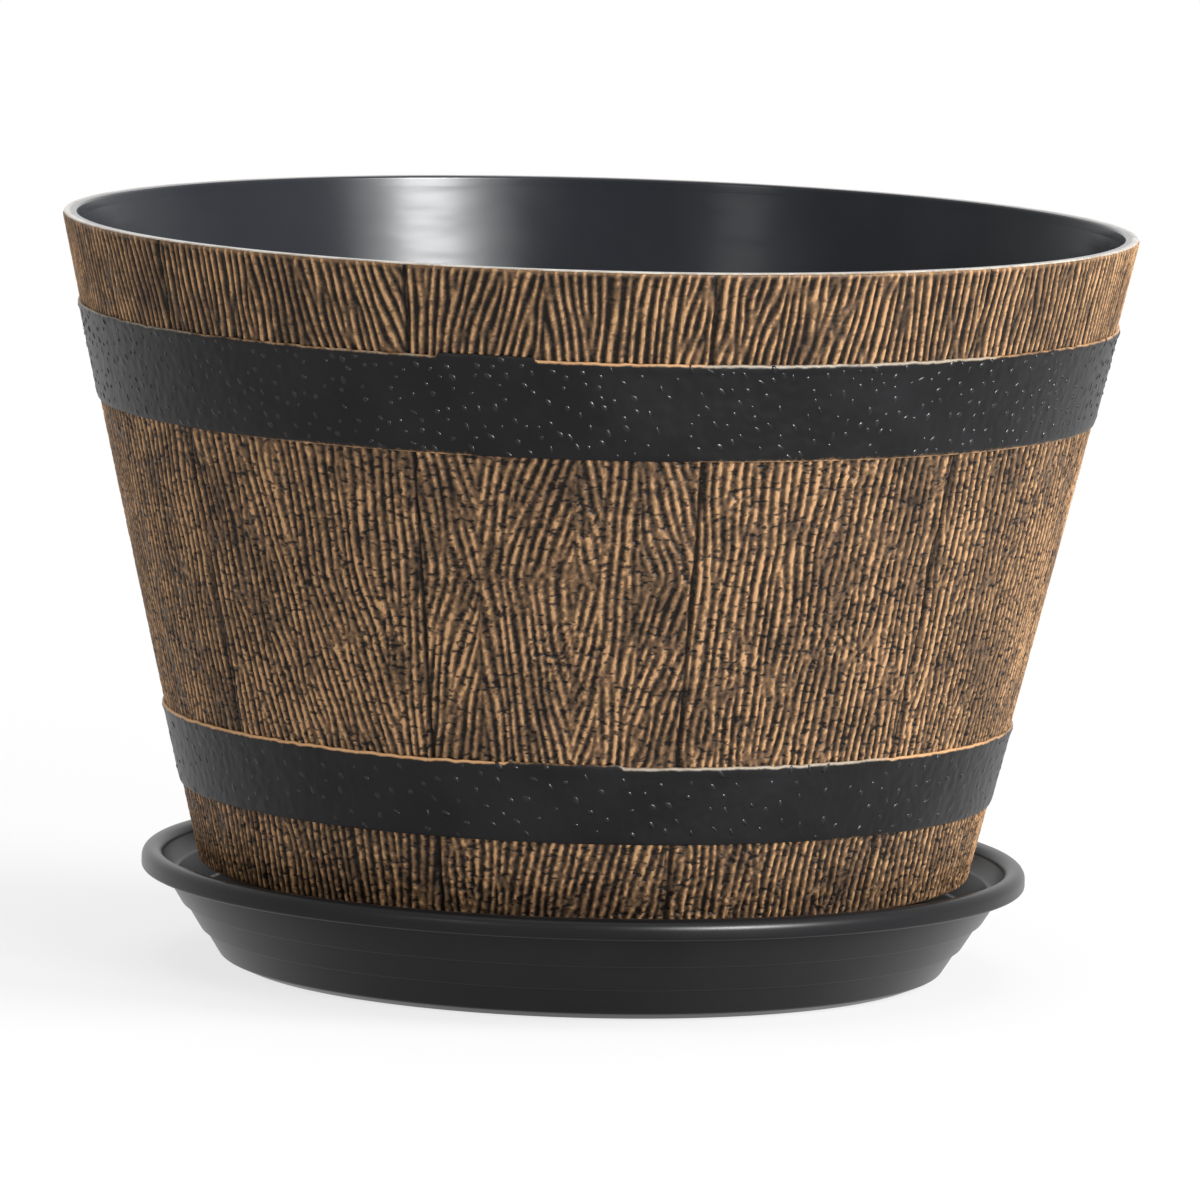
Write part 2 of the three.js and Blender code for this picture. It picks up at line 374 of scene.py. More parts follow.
PLASTIC_BLACK = painted(13, 13, 15)
PLASTIC_WORN = painted(20, 20, 22)
HOOP_BLACK = painted(9, 9, 11)
# The inside's black is lighter and bluer than the same plastic outside: a painted sheen in place of
# reflection.
INSIDE_BLACK_SHEEN = painted(34, 36, 41)
INSIDE_WORN_SHEEN = painted(41, 43, 47)
TAN = painted(186, 144, 102)
# The rim's creams are paler than its paint: partly a painted highlight of the light its top
# reflects.
CREAM_HIGHLIGHT = painted(186, 178, 166)
CREAM_DULL_HIGHLIGHT = painted(150, 134, 116)
# The hoops' cream edge paint is partly a painted highlight.
HOOP_CREAM_HIGHLIGHT = painted(150, 138, 122)
INSIDE_GLOSS = 0.1
NICK_SCALE = 380.0
NICK_STRETCH = 2.2  # a nick is this much longer across the wall than up it
NICK_EDGES = (0.57, 0.67)  # the noise from which a nick starts, and at which it is full
TOP_BAND_NICKS = 0.35  # how strong the nicks are above the upper hoop
# The dry brush, from the bottom of a groove to the top of a ridge, with painted shade on the
# ridges' flanks between them.
BRUSHED_AND_SHADED = [
    (0.0, painted(24, 20, 17)),
    (0.33, painted(68, 54, 42)),
    (0.6, painted(97, 75, 55)),
    (0.8, painted(121, 93, 67)),
    (0.93, painted(148, 115, 82)),
    (1.0, painted(174, 136, 98)),
]


def new_material(name):
    """An empty material, with its board and the places on a piece in the piece's own frame."""
    material = bpy.data.materials.new(name)
    board = fresh_board(material)
    place = board.wire("ShaderNodeTexCoord", "Object")
    return material, board, place


def finish_material(board, inputs):
    surface = board.wire("ShaderNodeBsdfPrincipled", 0, None, inputs)
    board.node("ShaderNodeOutputMaterial", None, {"Surface": surface})


def clouded(board, cloud, black, worn):
    """Black that is worn in faint clouds."""
    return board.blend(board.ease(cloud, 0.35, 0.7), black, worn)


def satin_black(name, black, worn, gloss, roughness, waves):
    """Black polypropylene: satin, a little wavy, with the mould's faint cloud and spark marks."""
    material, board, place = new_material(name)
    cloud = board.noise(place, 24.0, 3.0)
    grit = board.noise(place, 2600.0, 2.0, seed=3.0)
    swell = board.noise(board.stretched(place, 1.0, 1.0, 4.0), 26.0, 1.5, seed=6.0)
    wavy = board.bumpy(1.0, waves, swell)
    finish_material(board, {
        "Base Color": clouded(board, cloud, black, worn),
        "Roughness": roughness - 0.05 + cloud * 0.07 + grit * 0.03,
        "Specular IOR Level": gloss,
        "Normal": board.bumpy(0.08, 0.1 * MM, grit, wavy),
    })
    return material


def nicks(board, place):
    """1 in the short dark nicks that cross the ridges every few millimetres, and 0 elsewhere. The
    band above the upper hoop has faint ones only."""
    flat = board.stretched(place, 1.0, 1.0, NICK_STRETCH)
    top_band = board.height(place) > UPPER_HOOP_BOTTOM * MM
    strength = 1 - top_band * (1 - TOP_BAND_NICKS)
    return board.ease(board.noise(flat, NICK_SCALE, 1.0, seed=8.0), *NICK_EDGES) * strength


def brushed_relief():
    """Raised grain with a dry brush of tan paint on black plastic, and painted shade on its flanks.
    """
    material, board, place = new_material("brushed_relief")
    paint = board.attribute("paint")
    tone = board.attribute("tone")
    speck = board.noise(place, 1100.0, 3.0)
    nick = nicks(board, place)
    # The colour: the brush's cover and the ramp's painted shade on the flanks, darker in the nicks.
    value = paint + (tone - 0.5) + (speck - 0.5) * 0.6 - nick * 0.4
    colour = board.wire("ShaderNodeValToRGB", "Color", {"stops": BRUSHED_AND_SHADED}, {"Fac": value})
    finish_material(board, {
        "Base Color": colour,
        "Roughness": 0.3 + paint * 0.1 + speck * 0.1,
        "Specular IOR Level": 0.1,
        "Normal": board.bumpy(0.5, 0.2 * MM, speck - nick * 0.8),
    })
    return material


def hoop_plastic():
    """Black hoop plastic, tan paint that wandered onto its edges, and a painted highlight there."""
    material, board, place = new_material("hoop_plastic")
    paint = board.attribute("paint")
    tone = board.attribute("tone")
    cloud = board.noise(place, 40.0, 3.0)
    patch = board.noise(place, 210.0, 2.0, seed=9.0)
    speck = board.noise(place, 900.0, 3.0, seed=2.0)
    black = clouded(board, cloud, HOOP_BLACK, PLASTIC_WORN)
    # Tan paint on the edges, turned cream where an edge is marked pale: the cream is partly painted
    # highlight.
    edge = board.blend(board.ease(tone + (patch - 0.5), 0.35, 0.75), TAN, HOOP_CREAM_HIGHLIGHT)
    cover = board.ease(paint * (0.35 + patch * 1.4) + (speck - 0.5) * 0.6, 0.25, 0.95)
    finish_material(board, {
        "Base Color": board.blend(cover, black, edge),
        "Roughness": 0.36 + cloud * 0.08 + cover * 0.1,
        "Specular IOR Level": 0.18,
        "Coat Weight": board.attribute("bump") * 0.26,
        "Coat Roughness": 0.19,
        "Normal": board.bumpy(0.15, 0.1 * MM, speck),
    })
    return material


def rim_paint():
    """The rim's black plastic; cream and tan paint worn thin on top, partly painted highlight."""
    material, board, place = new_material("rim_paint")
    cloud = board.noise(place, 24.0, 3.0)
    streak = board.noise(place, 90.0, 3.0)
    speck = board.noise(place, 700.0, 3.0, seed=4.0)
    radius = board.vector_math("LENGTH", "Value", {0: board.stretched(place, 1.0, 1.0, 0.0)})
    # Where the cream lies: the outer part of the rim's top, as paint and painted highlight.
    outward = board.ease(radius + (streak - 0.5) * (2.0 * MM),
                         (RIM_RADIUS - 2.4) * MM, (RIM_RADIUS - 1.2) * MM)
    on_top = board.ease(board.height(place), (POT_TOP - 1.0) * MM, (POT_TOP - 0.3) * MM)
    black = clouded(board, cloud, INSIDE_BLACK_SHEEN, INSIDE_WORN_SHEEN)
    # Cream paint, made paler as a painted highlight.
    paint = board.blend(board.ease(streak + (speck - 0.5) * 0.6, 0.35, 0.65), CREAM_DULL_HIGHLIGHT, CREAM_HIGHLIGHT)
    finish_material(board, {
        "Base Color": board.blend(outward * on_top, black, paint),
        "Roughness": 0.15 + cloud * 0.07 + speck * 0.03,
        "Specular IOR Level": INSIDE_GLOSS,
        "Coat Weight": on_top * 0.35,
        "Coat Roughness": 0.16,
        "Normal": board.bumpy(0.1, 0.1 * MM, speck),
    })
    return material


# ---- Meshes ----


def new_piece(name, vertices, faces, material=None):
    """A smooth-shaded object from points in millimetres."""
    mesh = bpy.data.meshes.new(name)
    mesh.from_pydata((np.asarray(vertices) * MM).tolist(), [], faces)
    mesh.shade_smooth()
    if material:
        mesh.materials.append(material)
    piece = bpy.data.objects.new(name, mesh)
    bpy.context.scene.collection.objects.link(piece)
    return piece


def rounded(corners, steps=4):
    """An outline of (radius, height) points through corners (radius, height, rounding)."""
    outline = []
    for i, (radius, height, rounding) in enumerate(corners):
        here = np.array((radius, height))
        if not rounding:
            outline.append(tuple(here))
            continue
        back = np.array(corners[i - 1][:2]) - here
        ahead = np.array(corners[(i + 1) % len(corners)][:2]) - here
        back_length, ahead_length = np.linalg.norm(back), np.linalg.norm(ahead)
        back, ahead = back / back_length, ahead / ahead_length
        half = math.acos(np.clip(back @ ahead, -1, 1)) / 2
        run = min(rounding / math.tan(half), back_length / ROUNDING_LIMIT,
                  ahead_length / ROUNDING_LIMIT)
        for step in range(steps + 1):
            share = step / steps
            bend = back * (1 - share) ** 2 + ahead * share ** 2
            outline.append(tuple(here + run * bend))
    return outline


def lay_map(mesh, corners):
    """The map that the finish is baked to, from a place in it for each corner of each face."""
    layer = mesh.uv_layers.new(name="OFBake")
    places = np.clip(np.asarray(corners, np.float32), 0.002, 0.998)
    layer.data.foreach_set("uv", places.ravel())


def directions(turn):
    """Level unit vectors that point away from the axis, at angles from the front."""
    return np.stack([np.sin(turn), -np.cos(turn), np.zeros_like(turn)], 1)


def turned(name, outline, columns, material, closed=False, reach=1.0):
    """An outline turned about the Z axis. An open outline starts and ends on the axis. Its map is
    unrolled: across it goes round the pot, and up it follows the outline, up to its reach."""
    ring = directions(np.arange(columns) * 2 * math.pi / columns)[:, :2]
    poles = [radius < ON_AXIS for radius, _ in outline]
    vertices, starts = [], []
    for (radius, height), pole in zip(outline, poles):
        starts.append(len(vertices))
        spots = [(0.0, 0.0)] if pole else radius * ring
        vertices += [(x, y, height) for x, y in spots]
    path = np.array(list(outline) + [outline[0]])
    lengths = np.concatenate([[0.0], np.cumsum(np.linalg.norm(np.diff(path, axis=0), axis=1))])
    last = len(outline) if closed else len(outline) - 1
    rises = reach * lengths / lengths[last]
    faces, corners = [], []
    for row in range(last):
        above = (row + 1) % len(outline)
        low, high = starts[row], starts[above]
        for column in range(columns):
            beside = (column + 1) % columns
            left, right, middle = (column + np.array((0.0, 1.0, 0.5))) / columns
            face = [low] if poles[row] else [low + column, low + beside]
            face += [high] if poles[above] else [high + beside, high + column]
            faces.append(face)
            base, top = rises[row], rises[row + 1]
            corners += [(middle, base)] if poles[row] else [(left, base), (right, base)]
            corners += [(middle, top)] if poles[above] else [(right, top), (left, top)]
    piece = new_piece(name, vertices, faces, material)
    lay_map(piece.data, corners)
    piece.data.set_sharp_from_angle(angle=SHARP_ANGLE)
    return piece


def settle(piece):
    """Replaces a piece's live modifiers by the mesh that they make."""
    view = bpy.context.evaluated_depsgraph_get()
    view.update()
    made = bpy.data.meshes.new_from_object(piece.evaluated_get(view))
    made.name = piece.name
    piece.modifiers.clear()
    piece.data = made


def store(mesh, name, values, kind="FLOAT"):
    attribute = mesh.attributes.new(name, kind, "POINT")
    key = "vector" if kind == "FLOAT_VECTOR" else "value"
    attribute.data.foreach_set(key, np.asarray(values, np.float32).ravel())


def fetch(items, key, kind=float, width=1):
    """A value, or a row of width values, for each item of a mesh."""
    values = np.empty(len(items) * width, kind)
    items.foreach_get(key, values)
    return values.reshape(-1, width) if width > 1 else values


# ---- Geometry node trees: their frame, inputs and last nodes ----


def new_tree(name, inputs):
    """A geometry tree with a geometry input and named number inputs. Returns it with its board
    and the wires of its inputs."""
    tree = bpy.data.node_groups.new(name, "GeometryNodeTree")
    interface = tree.interface
    interface.new_socket("Geometry", in_out="INPUT", socket_type="NodeSocketGeometry")
    for label, value in inputs.items():
        kind = "NodeSocketInt" if isinstance(value, int) else "NodeSocketFloat"
        interface.new_socket(label, in_out="INPUT", socket_type=kind).default_value = value
    interface.new_socket("Geometry", in_out="OUTPUT", socket_type="NodeSocketGeometry")
    board = Board(tree)
    group = board.node("NodeGroupInput")
    wires = {socket.name: Wire(board, socket) for socket in group.outputs if socket.name}
    return tree, board, wires


def named(board, name, kind="FLOAT"):
    return board.wire("GeometryNodeInputNamedAttribute", "Attribute", {"data_type": kind},
                      {"Name": name})


def keep(board, geometry, name, value):
    """Stores a number at each point, for the paint to read."""
    settings = {"data_type": "FLOAT", "domain": "POINT"}
    inputs = {"Geometry": geometry, "Name": name, "Value": value}
    return board.wire("GeometryNodeStoreNamedAttribute", "Geometry", settings, inputs)


def end_tree(board, geometry, material):
    geometry = board.shape("RealizeInstances", Geometry=geometry)
    geometry = board.shape("SetMaterial", Geometry=geometry, Material=material)
    board.node("NodeGroupOutput", None, {"Geometry": geometry})


def run_tree(piece, tree, **sizes):
    """Runs a tree on a piece, with sizes for its named inputs, and keeps the mesh."""
    modifier = piece.modifiers.new(tree.name, "NODES")
    modifier.node_group = tree
    for item in tree.interface.items_tree:
        label = item.name.lower().replace(" ", "_")
        if item.in_out == "INPUT" and label in sizes:
            modifier[item.identifier] = sizes[label]
    settle(piece)


# ---- Wood grain: where the ridges run ----

# How far the ridges lean from upright, in degrees, towards +X at their top, by the angle round
# the pot. A step between two near angles is a seam.
TOP_LEAN = [
    (-86.1, -3), (-60, -7), (-53.4, -7), (-53.2, -4), (-40, -3), (-30, -10), (-20.7, -20),
    (-20.5, 2), (-14, 14), (-5.7, 15), (-5.6, -2), (-4, -7), (-0.6, -6), (-0.4, 0), (3, 5),
    (7, 10), (11.2, 14), (11.3, 0), (12.1, 0), (12.2, 8), (32.6, 9), (32.8, -2), (44.8, 0),
    (45, 3), (77.5, 0),
]
MIDDLE_UPPER_LEAN = [
    (-86.1, 0), (-53.4, 0), (-53.2, -3), (-36, -5), (-20.7, -2), (-20.5, -7), (-13.4, -15),
    (-13.2, 12), (-6, 17), (-2.1, 20), (-1.9, -16), (0.9, -12), (1.1, 1), (5.9, -3), (6.1, -14),
    (10, -18), (12.1, -8), (12.2, 2), (44.8, 2), (45, -2), (77.5, 0),
]
MIDDLE_LOWER_LEAN = [
    (-86.1, 2), (-53.4, 0), (-53.2, -2), (-38, -12), (-27, -12), (-22, 0), (-20.5, 12),
    (-13.4, 14), (-13.2, -6), (-6, -10), (-2.1, -18), (-1.9, 18), (0.9, 14), (1.1, 0), (5.9, 3),
    (6.1, 15), (12.1, 12), (12.2, 3), (44.8, 1), (45, 2), (77.5, 0),
]
BOTTOM_LEAN = [
    (-86.1, 0), (-53.4, 0), (-53.2, 3), (-38, -4), (-20.7, 5), (-20.5, -6), (-14, 0), (-8, 10),
    (11.4, 11), (11.5, -14), (12.1, -14), (12.2, 0), (30, 4), (44.8, 2), (45, -2), (77.5, 0),
]
MIRROR_HEIGHT = 125.4  # where the middle band's ridges turn
MIRROR_BEND = 2.0  # height over which they turn
MIRROR_WANDER = 0.8  # how far that height strays
BACK_ZONE = (77.6, 273.8)  # the staves behind, whose grain is drawn by chance
BACK_PATCH = (5, 17)  # degrees round that a patch of grain takes there
SEAM = 0.1
STEEPEST = 16.0  # lean of the ridges there, either way
LEAN_WANDER = 5.0  # how far a ridge strays from its lean
LEAN_WAVES = (9.0, 5.0)  # the shortest such strays, up and across, in millimetres
TILTS = np.arange(-30.0, 31.0, 6.0)  # leans for which ridges are grown and then mixed
GROWTH_ROUNDS = 7
GROWTH_GAIN = 1.6  # how hard each round evens out the last one's ridges
MARGIN_PITCHES = 3  # spare ridges above and below a band while they grow
PITCH_SPREAD = 0.32  # how loosely the ridges keep their pitch
ALONG_SPREAD = 0.22  # how soon a ridge may bend or end
PITCH_DRIFT = 0.25  # how far the ridges crowd together or spread apart, in millimetres
PITCH_DRIFT_WAVE = 6.0
CREST_GAIN, CREST_SPREAD = 0.7, 0.62  # how flat the crests are, and their spread to divide by
# Each band: the pitch of its ridges, how they lean above and below the height where they turn,
# that height and the band's seed, and then how broken the ridges are, how high they stand on
# average and how sharp they are.
GRAIN_BANDS = [
    (2.55, BOTTOM_LEAN, BOTTOM_LEAN, 0.0, 11, 1.1, 0.48, 0.36),
    (2.6, MIDDLE_UPPER_LEAN, MIDDLE_LOWER_LEAN, MIRROR_HEIGHT, 12, 0.9, 0.55, 0.37),
    (2.6, TOP_LEAN, TOP_LEAN, 0.0, 13, 0.3, 0.44, 0.52),
]


def with_back(knots, chance):
    """Adds lean knots for the staves behind, in zones of chance width that end in seams."""
    knots = list(knots)
    angle = BACK_ZONE[0]
    while angle < BACK_ZONE[1]:
        end = min(angle + chance.uniform(*BACK_PATCH), BACK_ZONE[1])
        knots.append((angle, chance.uniform(-STEEPEST, STEEPEST)))
        knots.append((end - SEAM, chance.uniform(-STEEPEST, STEEPEST)))
        angle = end
    return knots


def lean_round(knots, angles):
    """The lean at each angle, all the way round."""
    places, leans = zip(*knots)
    return np.interp((angles - places[0]) % 360 + places[0], places, leans)


def soft_noise(chance, shape, steps, wave_up, wave_across, longest_up=None):
    """Noise with a spread of 1 that closes round the pot. It has hardly any waves shorter than
    those given, in millimetres up and across, or longer upwards than the longest."""
    up = np.fft.fftfreq(shape[0], steps[0])[:, None]
    across = np.fft.fftfreq(shape[1], steps[1])[None, :]
    pass_band = np.exp(-((up * wave_up) ** 2 + (across * wave_across) ** 2))
    if longest_up:
        pass_band *= 1 - np.exp(-(up * longest_up) ** 2)
    soft = np.fft.ifft2(np.fft.fft2(chance.standard_normal(shape)) * pass_band).real
    return soft / soft.std()


def grow_ridges(lean, steps, pitch, chance):
    """Ridges a pitch apart that follow the lean. They grow out of noise as a fingerprint does:
    each round lets through the waves that lie along the lean, and evens out what got through."""
    rows, columns = lean.shape
    margin = int(MARGIN_PITCHES * pitch / steps[0])
    padded = np.pad(lean, ((margin, margin), (0, 0)), mode="edge")
    padded = padded + LEAN_WANDER * soft_noise(chance, padded.shape, steps, *LEAN_WAVES)
    up = np.fft.fftfreq(padded.shape[0], steps[0])[:, None]
    across = np.fft.fftfreq(columns, steps[1])[None, :columns // 2 + 1]
    ridges = chance.standard_normal(padded.shape)
    place = (padded - TILTS[0]) / (TILTS[1] - TILTS[0])
    for _ in range(GROWTH_ROUNDS):
        waves = np.fft.rfft2(np.tanh(GROWTH_GAIN * ridges))
        ridges = np.zeros_like(ridges)
        for number, tilt in enumerate(np.radians(TILTS)):
            share = np.clip(1 - np.abs(place - number), 0, 1)
            if not share.any():
                continue
            over = np.abs(across * math.cos(tilt) - up * math.sin(tilt)) * pitch
            along = (across * math.sin(tilt) + up * math.cos(tilt)) * pitch
            let_through = np.exp(-((over - 1) / PITCH_SPREAD) ** 2 - (along / ALONG_SPREAD) ** 2)
            ridges += share * np.fft.irfft2(waves * let_through, s=ridges.shape)
        ridges /= ridges.std()
    return ridges[margin:margin + rows]


def slide(field, shift):
    """The field, each of its points taken from that many columns further round."""
    count = field.shape[1]
    at = np.arange(count) + shift
    low = np.floor(at).astype(int)
    near = np.take_along_axis(field, low % count, 1)
    far = np.take_along_axis(field, (low + 1) % count, 1)
    return near + (at - low) * (far - near)


def smooth(share):
    share = np.clip(share, 0, 1)
    return share * share * (3 - 2 * share)


def grain_band(heights, pitch, upper, lower, mirror, seed, broken, middle, contrast):
    """How high the grain stands, from 0 to 1, on each row and column round the whole band."""
    chance = np.random.default_rng(seed)
    columns = STAVES * STAVE_COLUMNS
    angles = FIRST_JOINT + np.arange(columns) * 360 / columns
    above = lean_round(with_back(upper, chance), angles)
    below = lean_round(with_back(lower, chance), angles)
    steps = (heights[1] - heights[0], 2 * math.pi * wall_radius(heights.mean()) / columns)
    shape = (len(heights), columns)

    def noise(wave_up, wave_across, longest_up=None):
        return soft_noise(chance, shape, steps, wave_up, wave_across, longest_up)

    turn_height = mirror + MIRROR_WANDER * soft_noise(chance, (1, columns), steps, 0.0, 9.0)
    share = smooth((heights[:, None] - turn_height) / MIRROR_BEND + 0.5)
    lean = below * (1 - share) + above * share
    ridges = np.tanh(CREST_GAIN * grow_ridges(lean, steps, pitch, chance)) / CREST_SPREAD
    ridges = slide(ridges, PITCH_DRIFT * noise(40.0, PITCH_DRIFT_WAVE) / steps[1])
    # Flaws: grain that is knotty in patches, short breaks, and a few deep pits.
    knotty = np.clip(0.8 * noise(16.0, 16.0) - 0.5, 0, 1)
    flaws = (0.2 + 0.25 * knotty) * noise(1.9, 1.5)
    flaws += 0.22 * noise(1.9, 1.5, 4.5)
    flaws += (0.12 + 0.35 * knotty) * noise(1.4, 1.2)
    flaws -= 0.6 * np.clip(noise(1.6, 1.8) - 1.5, 0, 1.2)
    ridges += broken * flaws + 0.18 * noise(14.0, 2.2)
    return np.clip(middle + contrast * ridges, 0, 1)


# ---- Staves ----


def band_rows(low, high):
    """Heights of a band's rows of points."""
    return np.linspace(low, high, int(round((high - low) / ROW_PITCH)) + 1)


def stave_tree(material):
    """Presses the grain and the joints into a slab, and marks what the dry brush reaches."""
    tree, board, wires = new_tree("moulded_stave", {
        "Ridge Height": RIDGE_HEIGHT * MM, "Joint Width": JOINT_WIDTH * MM,
        "Joint Depth": JOINT_DEPTH * MM, "Seed": 0.0,
    })
    place = board.wire("GeometryNodeInputPosition", "Position")
    seed = wires["Seed"]
    wander = board.noise(place, 160.0, 2.0, seed=seed) - 0.5
    uneven = board.noise(place, 300.0, 1.0, seed=seed + 3.0)
    worn = board.noise(place, 42.0, 3.0, seed=seed + 7.0)
    away = named(board, "from_joint") + wander * (JOINT_WANDER * MM)
    joint = 1 - board.ease(away / (wires["Joint Width"] * 0.5), 0.05, 1.0)
    crest = named(board, "crest")
    level = crest * (1 - joint) * (1 - nicks(board, place) * NICK_DEPTH)
    depth = wires["Ridge Height"] * (1 - level) * (1 - joint) + wires["Joint Depth"] * joint
    push = board.vector_math("SCALE", 0, {
        0: named(board, "outward", "FLOAT_VECTOR"), "Scale": depth * named(board, "front") * -1.0,
    })
    geometry = board.shape("SetPosition", Geometry=wires["Geometry"], Offset=push)
    paint = level * (0.75 + worn * 0.5)
    geometry = keep(board, geometry, "paint", board.math("MINIMUM", paint, 1.0))
    geometry = keep(board, geometry, "tone", worn * 0.5 + uneven * 0.5)
    end_tree(board, geometry, material)
    return tree


def make_staves(material):
    # The slabs' rows, band by band. The hoops hide what lies between the bands.
    bands = [
        band_rows(WALL_BOTTOM, LOWER_HOOP_BOTTOM + TUCK),
        band_rows(LOWER_HOOP_TOP - TUCK, UPPER_HOOP_BOTTOM + TUCK),
        band_rows(UPPER_HOOP_TOP - TUCK, POT_TOP - 0.2 * RIM_ROUND),
    ]
    grain = [grain_band(rows, *values) for rows, values in zip(bands, GRAIN_BANDS)]
    heights = np.concatenate(bands)
    run_together = np.maximum(1 - smooth((POT_TOP - heights) / TOP_EDGE_BAND - 0.5),
                              1 - smooth((heights - WALL_BOTTOM) / LOWER_EDGE_BAND - 0.3))
    crest = np.maximum(np.concatenate(grain), EDGE_CREST * run_together[:, None])
    lower_edge = np.clip((heights - WALL_BOTTOM) / BOTTOM_ROUND, 0, 1)
    surface = outer_radius(heights) - BOTTOM_ROUND * (1.0 - np.sqrt(1 - (1 - lower_edge) ** 2))
    rises = np.cumsum(np.minimum(np.diff(heights, prepend=heights[0]), 2 * ROW_PITCH))
    rises = FRONT_MAP * rises / rises[-1]
    tree = stave_tree(material)
    return [make_stave(number, heights, surface, rises, crest, tree) for number in range(STAVES)]


def make_stave(number, heights, surface, rises, crest, tree):
    columns = np.arange(STAVE_COLUMNS + 1)
    first = number * STAVE_COLUMNS
    turn = np.radians(FIRST_JOINT + (number + columns / STAVE_COLUMNS) * STAVE_TURN)
    outward = directions(turn)
    rows, width = len(heights), len(columns)
    front = outward[None, :, :] * surface[:, None, None]
    front[:, :, 2] = heights[:, None]
    ends = heights[[0, -1]]
    back = outward[None, :, :] * (surface[[0, -1]] - SKIN)[:, None, None]
    back[:, :, 2] = ends[:, None]
    vertices = np.concatenate([front.reshape(-1, 3), back.reshape(-1, 3)])

    grid = np.arange(rows * width).reshape(rows, width)
    hidden = rows * width + np.arange(2 * width).reshape(2, width)

    def quads(a, b, c, d):
        return np.stack([a.ravel(), b.ravel(), c.ravel(), d.ravel()], 1).tolist()

    shown = quads(grid[:-1, :-1], grid[:-1, 1:], grid[1:, 1:], grid[1:, :-1])
    inner = quads(hidden[0, :-1], hidden[1, :-1], hidden[1, 1:], hidden[0, 1:])
    bottom = quads(grid[0, :-1], hidden[0, :-1], hidden[0, 1:], grid[0, 1:])
    top = quads(grid[-1, :-1], grid[-1, 1:], hidden[1, 1:], hidden[1, :-1])
    left = grid[::-1, 0].tolist() + [int(hidden[0, 0]), int(hidden[1, 0])]
    right = grid[:, -1].tolist() + [int(hidden[1, -1]), int(hidden[0, -1])]
    faces = shown + inner + bottom + top + [left, right]
    stave = new_piece(f"stave_{number + 1:02d}", vertices, faces)
    mesh = stave.data

    def side(front_edge, back_edge, rises):
        spots = np.r_[np.full(rows, front_edge), back_edge, back_edge]
        return np.stack([spots, np.r_[rises, rises[-1], rises[0]]], 1)

    # The map: the front over most of the square, and strips at its top and right for the rest.
    across = FRONT_MAP * columns / STAVE_COLUMNS
    near, far = across[:-1], across[1:]
    lay_map(mesh, np.concatenate([
        strip(near, far, rises[:-1], rises[1:]),
        strip(near, far, [0.992], [0.997], turned_over=True),
        strip(near, far, [0.984], [0.989], turned_over=True),
        strip(near, far, [0.976], [0.981]),
        side(0.976, 0.983, rises[::-1]),
        side(0.988, 0.995, rises),
    ]))

    around = (first + columns) % crest.shape[1]
    from_edge = np.minimum(columns, STAVE_COLUMNS - columns) / STAVE_COLUMNS
    reach = np.radians(STAVE_TURN) * surface[:, None] * from_edge[None, :]
    spare = np.zeros(2 * width)
    store(mesh, "crest", np.concatenate([crest[:, around].ravel(), spare]))
    store(mesh, "from_joint", np.concatenate([reach.ravel() * MM, spare]))
    store(mesh, "front", np.concatenate([np.ones(rows * width), spare]))
    shown_outward = np.broadcast_to(outward, (rows, width, 3)).reshape(-1, 3)
    still = np.zeros((2 * width, 3))
    store(mesh, "outward", np.concatenate([shown_outward, still]), "FLOAT_VECTOR")
    run_tree(stave, tree, ridge_height=RIDGE_HEIGHT * MM, joint_width=JOINT_WIDTH * MM,
             joint_depth=JOINT_DEPTH * MM, seed=float(number))
    return stave


def strip(near, far, low, high, turned_over=False):
    """Map places of a grid of faces: near to far along it, low to high up it, in face order."""
    near, low = np.meshgrid(near, low)
    far, high = np.meshgrid(far, high)
    corners = [(near, low), (far, low), (far, high), (near, high)]
    if turned_over:
        corners = [(near, low), (near, high), (far, high), (far, low)]
    return np.stack([np.stack(corner, -1) for corner in corners], -2).reshape(-1, 2)


# ---- Hoops ----

# Round each hoop, by the angle: how far its upper edge strays up, how much paint that edge
# caught, how pale it is painted (partly a painted highlight over the paint), and how much paint
# grazed the face by its lower edge.
UPPER_EDGE = {
    "lift": [(-86, 0.2), (-60, -0.1), (-35, 0.15), (-17.4, 0.1), (-17.0, 1.0), (-6.8, 1.0),
             (-6.4, 0.0), (25, -0.2), (60, 0.1), (77, 0.0), (120, 0.3), (170, -0.2),
             (220, 0.25), (250, 0.0)],
    "paint": [(-86, 0.8), (-45, 0.5), (-17.4, 0.7), (-17.0, 0.0), (-6.8, 0.0), (-6.4, 1.0),
              (44, 1.0), (52, 0.5), (90, 0.9), (140, 0.2), (180, 1.0), (215, 0.3), (240, 0.8)],
    "pale": [(-86, 0.9), (-55, 0.7), (-45, 0.3), (-20, 0.6), (-6.4, 0.1), (10, 0.3), (14, 1.0),
             (40, 0.9), (55, 0.2), (120, 0.8), (200, 0.1), (250, 0.7)],
    "haze": [(-86, 0.3), (-50, 0.2), (-32, 0.6), (-14, 0.6), (-12, 0.1), (8, 0.1), (14, 0.6),
             (55, 0.6), (90, 0.3), (180, 0.6), (250, 0.2)],
}
